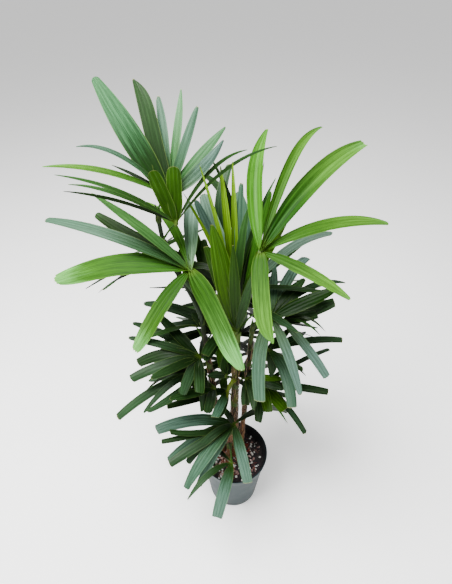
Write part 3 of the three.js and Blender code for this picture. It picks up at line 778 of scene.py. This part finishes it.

# ---- Leaflets ----
# Thin leathery blades, pleated along their ribs and cut off short and toothed at the end. Old ones
# are dark or carry a painted silvery sheen, the top ones bright green, and the newest yellow-green.

# For each letter: the colour at the knot and at the end, where grey-blue end colours are a painted
# silvery sheen, how far out the change lies, and how much painted sheen the last part has.
greens = {
    "b": ("2c540a", "4e7e26", 0.55, 0.55), "l": ("2c540c", "4a7a30", 0.5, 0.95),
    "x": ("224a02", "345e08", 0.6, 0.8), "q": ("143c00", "4a7826", 0.52, 0.6),
    "h": ("204800", "305c08", 0.6, 0.75), "n": ("0a2600", "102e00", 0.6, 0.0),
    # c is a lighter copy of a: painted light for silvery leaflets that lie in the shade of others.
    "a": ("3c5638", "55716b", 0.45, 0.15), "c": ("56745a", "7a9a8e", 0.4, 0.2),
    "f": ("1e3a12", "55746a", 0.42, 0.1), "j": ("2c4c24", "3e6a34", 0.45, 0.3),
    "i": ("0a2200", "122a00", 0.6, 0.32),
    "e": ("366a12", "3e741a", 0.6, 0.3), "g": ("1c380c", "325828", 0.6, 0.25),
    "m": ("2e4a00", "345800", 0.55, 0.05), "o": ("1c3600", "213e00", 0.6, 0.0),
    "d": ("102408", "1e3818", 0.6, 0.05), "k": ("0a1804", "14280a", 0.6, 0.0),
    "t": ("14290c", "2b452c", 0.5, 0.1), "s": ("203e16", "446454", 0.42, 0.15),
    "w": ("2a5420", "4c7c54", 0.4, 0.3), "v": ("0e2804", "3e6e4a", 0.58, 0.25),
    "y": ("345400", "6c9410", 0.5, 0.1),
}  # fmt: skip
# For each frond, one letter a leaflet for its green, and one for the form of its end, a capital
# where it stays folded. The other fans take theirs by chance.
dress = {
    "left_frond_1": ("bsvdswswak", "ppljbpbppp"),
    "left_frond_2": ("ooggggk", "rrppppp"),
    "centre_frond_1": ("lxhsijckbo", "fzznnpBppb"),
    "centre_frond_2": ("ebqbbb", "IIBuuj"),
    "centre_frond_3": ("yyyygsgy", "PPPPPbiP"),
    "centre_frond_4": ("kdtskckemakc", "pbbbpbpbbbbb"),
    "centre_frond_5": ("mogod", "hppnn"),
    "right_frond_1": ("asdntas", "cpbbpnc"),
    "right_frond_2": ("ddkga", "ccppc"),
    "right_frond_3": ("dttksd", "bbcpcb"),
    "right_frond_4": ("tddmtgmd", "cbcccpcc"),
    "right_frond_8": ("mdkdddd", "bbccbcb"),
    "left_frond_3": ("dttdtdtdd", "bbbccbccb"),
    "left_frond_4": ("tkttkdddt", "bpcbpbbcb"),
    "centre_frond_6": ("ttddddo", "bpcbbbb"),
    "left_frond_5": ("dkdd", "cbbb"),
    "front_frond_1": ("fsttfsfdddsd", "ccccccccccnb"),
    "centre_frond_7": ("skdd", "ccbb"),
    "centre_frond_10": ("gddo", "bbbb"),
    "front_frond_2": ("tfk", "pcc"),
    "left_frond_10": ("oooodk", "nnbbbb"),
}
plain_looks, plain_forms = "ddgtkdg", "bbcb"
# How many degrees some leaflets turn their face to the light.
turns = {"centre_frond_6": {0: 42, 1: 40, 4: 40, 5: 30}, "centre_frond_1": {4: 26}}
# Forms of end: blunt, cut off, rounded, narrow and pointed, then h, i, j, l and u with their point
# off the middle, and z and f broad and ragged. Each has the width left at its end, how late its
# sides close, tooth depth, corner loss, slant, and how far its end leans aside.
ends = {
    "b": (0.5, 2.4, 4.0, 8.0, 3.0, 0.0), "c": (0.8, 3.0, 1.6, 2.0, 3.5, 0.0),
    "r": (0.86, 6.0, 0.4, 0.0, 0.0, 0.0), "n": (0.5, 2.0, 1.0, 4.0, 1.0, 0.3),
    "p": (0.14, 1.9, 0.5, 1.0, 0.0, 0.0), "h": (0.2, 2.3, 1.0, 3.0, 2.0, -0.5),
    "i": (0.2, 2.3, 1.0, 3.0, 2.0, 0.9), "j": (0.16, 4.5, 1.5, 3.0, 2.0, -0.9),
    "z": (0.55, 4.0, 6.0, 7.0, 4.0, 0.5), "l": (0.34, 1.9, 0.5, 5.0, 0.0, -0.3),
    "f": (0.36, 5.0, 5.0, 2.5, 4.0, -0.25), "u": (0.3, 2.2, 1.5, 3.0, 2.0, 0.3),
}  # fmt: skip
# The width at the knot as a share of the full width, and how far out the blade reaches that.
shoulders = {"j": (0.42, 0.26), "f": (0.3, 0.3)}
usual_shoulder = (0.16, 0.46)
# Half the blade's width as a share of the solid leaflet's, less where a leaflet stays folded.
half_widths = {"P": 0.32, "I": 0.38, "B": 0.5, "c": 0.49, "u": 0.46, "f": 0.6}
usual_half_width = 0.53


def sheet_faces(rows, columns):
    """Quads between rows of points."""
    index = np.arange(rows * columns).reshape(rows, columns)
    corners = [index[:-1, :-1], index[:-1, 1:], index[1:, 1:], index[1:, :-1]]
    return np.stack(corners, axis=-1).reshape(-1, 4).tolist()


def leaf_sheet(course, form, pull, turn):
    """Points and marks of one leaflet, in rows. pull is a random source of its own."""
    width, length = course.width, course.length
    left, late, tooth, corner, slant, lean = ends[form.lower()]
    ribs = 1 if width < 10 else 2 if width < 21 else 3 if width < 32 else 4
    across_share = np.linspace(-1, 1, 4 * ribs + 1)
    # The rows of points lie closer together towards the knot and the end.
    steps = np.linspace(0, 1, 20 + int(length / 24))
    steps = steps - 0.055 * np.sin(2 * math.pi * steps)
    share, over = np.meshgrid(steps, across_share, indexing="ij")

    # The outline, from the knot to the end.
    foot, full = shoulders.get(form, usual_shoulder)
    rise = foot + (1 - foot) * (1 - (1 - np.minimum(share / full, 1)) ** 2.2)
    fall = 1 - (1 - left) * np.maximum((share - 0.5) / 0.5, 0) ** late
    half = width * half_widths.get(form, usual_half_width) * rise * fall

    # What the teeth, the corners and the slant take off the end.
    teeth = tooth * np.abs(np.sin(math.pi * ribs * (across_share + 1) / 2 + pull.uniform(0, 0.8)))
    teeth = teeth * np.array([pull.uniform(0.4, 1) for _ in across_share])
    loss = teeth + corner * np.abs(across_share) ** 3 + slant * pull.uniform(-1, 1) * across_share
    if form == "r":
        loss = width * 0.42 * (1 - np.sqrt(np.maximum(0, 1 - across_share**2)))
    loss = loss - loss.min() - 0.008 * length
    place = share * (1 - loss[None] / length)

    # Pleats along the ribs, sides that curl, and a slow wave.
    pleat = np.cos(math.pi * ribs * (over + 1))
    depth = width * (0.016 + 0.05 * np.exp(-share * 9)) * (1 - 0.3 * share)
    curl = (-0.34 + 0.62 * share) * pull.uniform(0.6, 1.2)
    if form.isupper():
        curl = -0.7 + 0.2 * share
    wave = pull.uniform(0, 6.28)
    drift = np.sin(share * pull.uniform(5, 9) + wave) * (0.02 + 0.02 * over)
    height = depth * pleat - curl * half * np.abs(over) ** 1.6 + drift * width * share

    # The blade's twist about its own course.
    twist = math.radians(pull.uniform(-12, 12)) + math.radians(pull.uniform(-12, 12)) * share**1.5
    twist = twist + math.radians(turn) * np.minimum(1, share / 0.3)
    sideways = half * over + lean * half * (1 / fall - 1)
    reach = sideways * np.cos(twist) - height * np.sin(twist)
    lift = sideways * np.sin(twist) + height * np.cos(twist)
    centre, _, across, up = course.course(place)
    points = centre + across * reach[..., None] + up * lift[..., None]
    return points, np.stack([share, over * 0.5 + 0.5, pleat * 0.5 + 0.5, share], axis=-1)


leaf_finish = Finish("pleated_leaf")
along, across, fold, sheen_share = leaf_finish.marks("leaf")
inner, luck = leaf_finish.mark("tint"), leaf_finish.mark("tint", "Alpha")
outer, middle = leaf_finish.mark("outer"), leaf_finish.mark("outer", "Alpha")
lane = leaf_finish.node("CombineXYZ", None, {0: across * 30.0, 1: along * 2.0, 2: luck * 40.0})
veins = leaf_finish.speckle(lane, 1.6, 4.0, 0.7)
cloud = leaf_finish.node("CombineXYZ", None, {0: across * 2.5, 1: along * 3.0, 2: luck * 60.0})
patches = leaf_finish.speckle(cloud, 1.4, 3.0)
# The inner green gives way to the outer one, with fine fibres, painted shade in the furrows and a
# painted highlight along the ridges.
streaky = along + (veins - 0.5) * 0.5 + (patches - 0.5) * 0.25
grown_out = (streaky - middle).rise(-0.3, 0.3)
green = leaf_finish.mix(grown_out, inner, outer)
fibre = leaf_finish.mix(veins.rise(0.3, 0.7), "8a957e", "fbfff2")
green = leaf_finish.mix(1.0, green, fibre, "MULTIPLY")
# Painted shade: the furrows between the pleats are darkened.
green = leaf_finish.mix(fold.rise(0.45, 0.0) * 0.32, green, "0a1804")
# Painted highlight: the pleats' ridges are lightened, less so on leaflets with much painted sheen.
ridge_highlight = fold.rise(0.6, 1.0) * veins.rise(0.3, 0.6) * grown_out
green = leaf_finish.mix(ridge_highlight * (0.25 - sheen_share * 0.3), green, "33442e", "ADD")
# A painted sheen lies in lighter streaks on the outer ends, the edges are yellower, the foot is
# fresh and the very end straw.
# Painted sheen: lighter green streaks on the outer part of a leaflet, strongest where its letter
# gives the most sheen.
painted_sheen = (streaky + sheen_share * 0.4).rise(1.05, 1.4) * sheen_share * (0.4 + veins.rise(0.36, 0.6) * 0.6)
green = leaf_finish.mix(painted_sheen * 0.7, green, "6cb85e")
edge = ((across - 0.5) * (across - 0.5)).rise(0.21, 0.25)
green = leaf_finish.mix(edge * (0.1 + veins * 0.25), green, "7c9448")
green = leaf_finish.mix(along.rise(0.1, 0.0) * 0.5, green, "466016")
green = leaf_finish.mix(along.rise(0.99, 1.0) * luck * 0.6, green, "a8a468")
leaf_material = leaf_finish.wear(
    Base_Color=green,
    Roughness=0.34 + veins * 0.14 + sheen_share * 0.28,
    Normal=leaf_finish.relief(veins * 0.7 + fold * 0.3, 0.0007, 0.5),
    Specular_IOR_Level=0.08,
)

fans = {}
for name, frond in fronds.items():
    pull = random.Random(name)
    looks, forms = dress.get(name, ("", ""))
    fan = fans.setdefault((frond.cane, frond.tone), Batch())
    fan.nodes.append(name)
    for number, course in grown[name]:
        look = looks[number] if looks else pull.choice(plain_looks)
        form = forms[number] if forms else pull.choice(plain_forms)
        turn = turns.get(name, {}).get(number, 0)
        points, marks = leaf_sheet(course, form, pull, turn)
        faces = [face[::-1] for face in sheet_faces(*points.shape[:2])]
        points, marks = points.reshape(-1, 3), marks.reshape(-1, 4)
        near, far, middle, pale = greens[look]
        marks[:, 3] = pale * pull.uniform(0.7, 1.2)
        shade = np.array([pull.uniform(0.86, 1.14)] * 3 + [1.0])
        tints = [np.array([*paint(near)[:3], pull.random()]) * shade] * len(points)
        outers = [np.array([*paint(far)[:3], middle]) * shade] * len(points)
        fan.add(points, faces, leaf=marks, tint=tints, outer=outers)
for (cane, tone), fan in fans.items():
    fan.make(f"{cane}_{tone}_leaflets", leaf_material, f"leaf_{tone}", fan.nodes)

# ---- Stalks, leaf bases and knots ----
# Smooth green stalks, flat above and round below. Each widens into a base that clasps its cane and
# ends in a small pale knot from which the leaflets spread.


def tube(batch, centres, across, up, wide, deep, code, around=10):
    """A tapering bar along centres, flatter on its upper side, closed at both ends."""
    points, tints = [], []
    for k, centre in enumerate(centres):
        for angle in np.arange(around) * 2 * math.pi / around:
            over = math.sin(angle)
            over = over * 0.55 if over > 0 else over
            points.append(centre + across * math.cos(angle) * wide[k] + up * over * deep[k])
            tints.append((*paint(code)[:3], k / (len(centres) - 1)))
    batch.add(points, bar_faces(len(centres), around), tint=tints)


clasp_below, clasp_above, clasp_rows, clasp_columns = 30, 5, 8, 13


def clasp(batch, frond, code):
    """The split sleeve with which a stalk holds its cane."""
    cane, points = canes[frond.cane], []
    for i in range(clasp_rows):
        share = i / (clasp_rows - 1)
        height = frond.height - clasp_below * (1 - share) + clasp_above * share
        spread = math.radians(150 * (1 - share) ** 0.7 + 24)
        for j in range(clasp_columns):
            over = j / (clasp_columns - 1) * 2 - 1
            angle = math.radians(frond.compass) + spread * over
            gap = 1.4 + 1.2 * share - 0.8 * abs(over)
            radius = cane.radius(height) + gap + 1.2
            points.append(cane.point(height) + spoke(angle) * radius)
    tints = [(*paint(code)[:3], 0.0)] * len(points)
    batch.add(points, sheet_faces(clasp_rows, clasp_columns), tint=tints)


stalk_finish = Finish("green_stalk")
own, reach = stalk_finish.mark("tint"), stalk_finish.mark("tint", "Alpha")
stretch = {"Vector": stalk_finish.place(), "Scale": (1.0, 1.0, 0.25)}
streaks = stalk_finish.speckle(stalk_finish.node("Mapping", None, stretch), 260.0, 4.0)
green = stalk_finish.mix(streaks.rise(0.3, 0.7), "9aa58c", "f2ffe6")
green = stalk_finish.mix(1.0, own, green, "MULTIPLY")
green = stalk_finish.mix(reach.rise(0.12, 0.0) * streaks.rise(0.35, 0.6) * 0.6, green, "3c3a18")
stalk_material = stalk_finish.wear(
    Base_Color=green,
    Roughness=0.45 + streaks * 0.15,
    Normal=stalk_finish.relief(streaks, 0.0005, 0.6),
    Specular_IOR_Level=0.1,
)
stalk_greens = {"mature": "2c4a14", "bright": "4c7020", "young": "44640c"}
stalk_foot, stalk_end = 3.4, 2.5
knot = np.array([-8.5, -6.5, -3, 0, 3, 5.5, 7.5])
knot_size = np.array([1.5, 3.2, 4.7, 5.3, 4.8, 3.3, 1.4])
stalks = {}
for name, frond in fronds.items():
    batch = stalks.setdefault((frond.cane, frond.tone), Batch())
    batch.nodes.append(name)
    reach = frond.hub - frond.root
    along = unit(reach)
    level = np.array([1.0, 0, 0]) if abs(along[2]) > 0.95 else np.array([0, 0, 1.0])
    across = unit(np.cross(along, level))
    up = np.cross(across, along)
    share = np.linspace(0, 1, 13)
    bow = math.hypot(reach[0], reach[1]) * 0.12 * 4 * share * (1 - share)
    centres = frond.root + reach * share[:, None] + np.array([0, 0, 1]) * bow[:, None]
    thick = stalk_foot + (stalk_end - stalk_foot) * share
    flare = 1 + 0.9 * np.exp(-share * 14)
    green = stalk_greens[frond.tone]
    tube(batch, centres, across, up, thick * flare, thick, green)
    clasp(batch, frond, green)
    centres = frond.hub + frond.forward * knot[:, None]
    tube(batch, centres, frond.side, frond.normal, knot_size, knot_size * 0.62, "4a5a24", 12)

# An old green leaf base arches off the centre cane and hangs down in front of it.
base = np.array(
    [(0, 2, 662), (-9, -5, 660), (-18, -9, 645), (-23, -12, 618), (-25, -12, 590), (-26, -11, 568)]
)
base_wide, base_deep = [9.0, 8.5, 8.0, 6.5, 4.5, 1.5], [4.0, 3.5, 3.0, 2.6, 2.0, 1.0]
slope, front = unit(np.array([1.0, 0, -1.0])), np.array([0, -1.0, 0])
tube(stalks["centre", "mature"], base, slope, front, base_wide, base_deep, "525c0c")
for (cane, tone), batch in stalks.items():
    batch.make(f"{cane}_{tone}_stalks", stalk_material, f"leaf_{tone}", batch.nodes)

# ---- Floor, light and camera ----
# A pale seamless floor under one large soft light from above, with a fill light on either side.
# The camera looks down from in front. Its focal length is in pixels of an image of that width.

bpy.ops.mesh.primitive_plane_add(size=60)
floor = bpy.context.object
floor.name = "studio_floor"
floor_finish = Finish("white_floor")
grain = floor_finish.speckle(floor_finish.place(), 3.0)
floor.data.materials.append(
    floor_finish.wear(
        Base_Color=floor_finish.mix(grain, "f4f4f3", "f8f8f7"),
        Roughness=0.9,
        Emission_Color=(1.0, 1.0, 1.0, 1.0),
        Emission_Strength=0.5,
    )
)

world = bpy.data.worlds.new("soft_studio")
bpy.context.scene.world = world
world.use_nodes = True
glow = world.node_tree.nodes["Background"].inputs
glow["Color"].default_value, glow["Strength"].default_value = (1, 1, 1, 1), 0.4


def soft_light(name, place, aim, size, power):
    lamp = bpy.data.lights.new(name, "AREA")
    lamp.size, lamp.energy = size, power
    holder = bpy.data.objects.new(name, lamp)
    holder.location = place
    holder.rotation_euler = (Vector(aim) - Vector(place)).to_track_quat("-Z", "Y").to_euler()
    bpy.context.scene.collection.objects.link(holder)


soft_light("top_light", (-0.8, -0.2, 3.2), (0, 0, 0.7), 1.5, 330)
soft_light("left_fill", (-2.6, -1.2, 1.9), (0, 0, 0.7), 1.4, 60)
soft_light("right_fill", (2.4, -1.6, 1.6), (0, 0, 0.6), 1.6, 40)

image_width, focal_length = 452, 420
look_down = math.radians(40.5)
lens = bpy.data.cameras.new("camera")
lens.sensor_fit = "HORIZONTAL"
lens.sensor_width = 36.0
lens.lens = lens.sensor_width * focal_length / image_width
lens.clip_start = 0.05
camera = bpy.data.objects.new("camera", lens)
camera.location = (-0.029, -0.787, 1.68)
camera.rotation_euler = (math.pi / 2 - look_down, 0, 0)
bpy.context.scene.collection.objects.link(camera)
bpy.context.scene.camera = camera
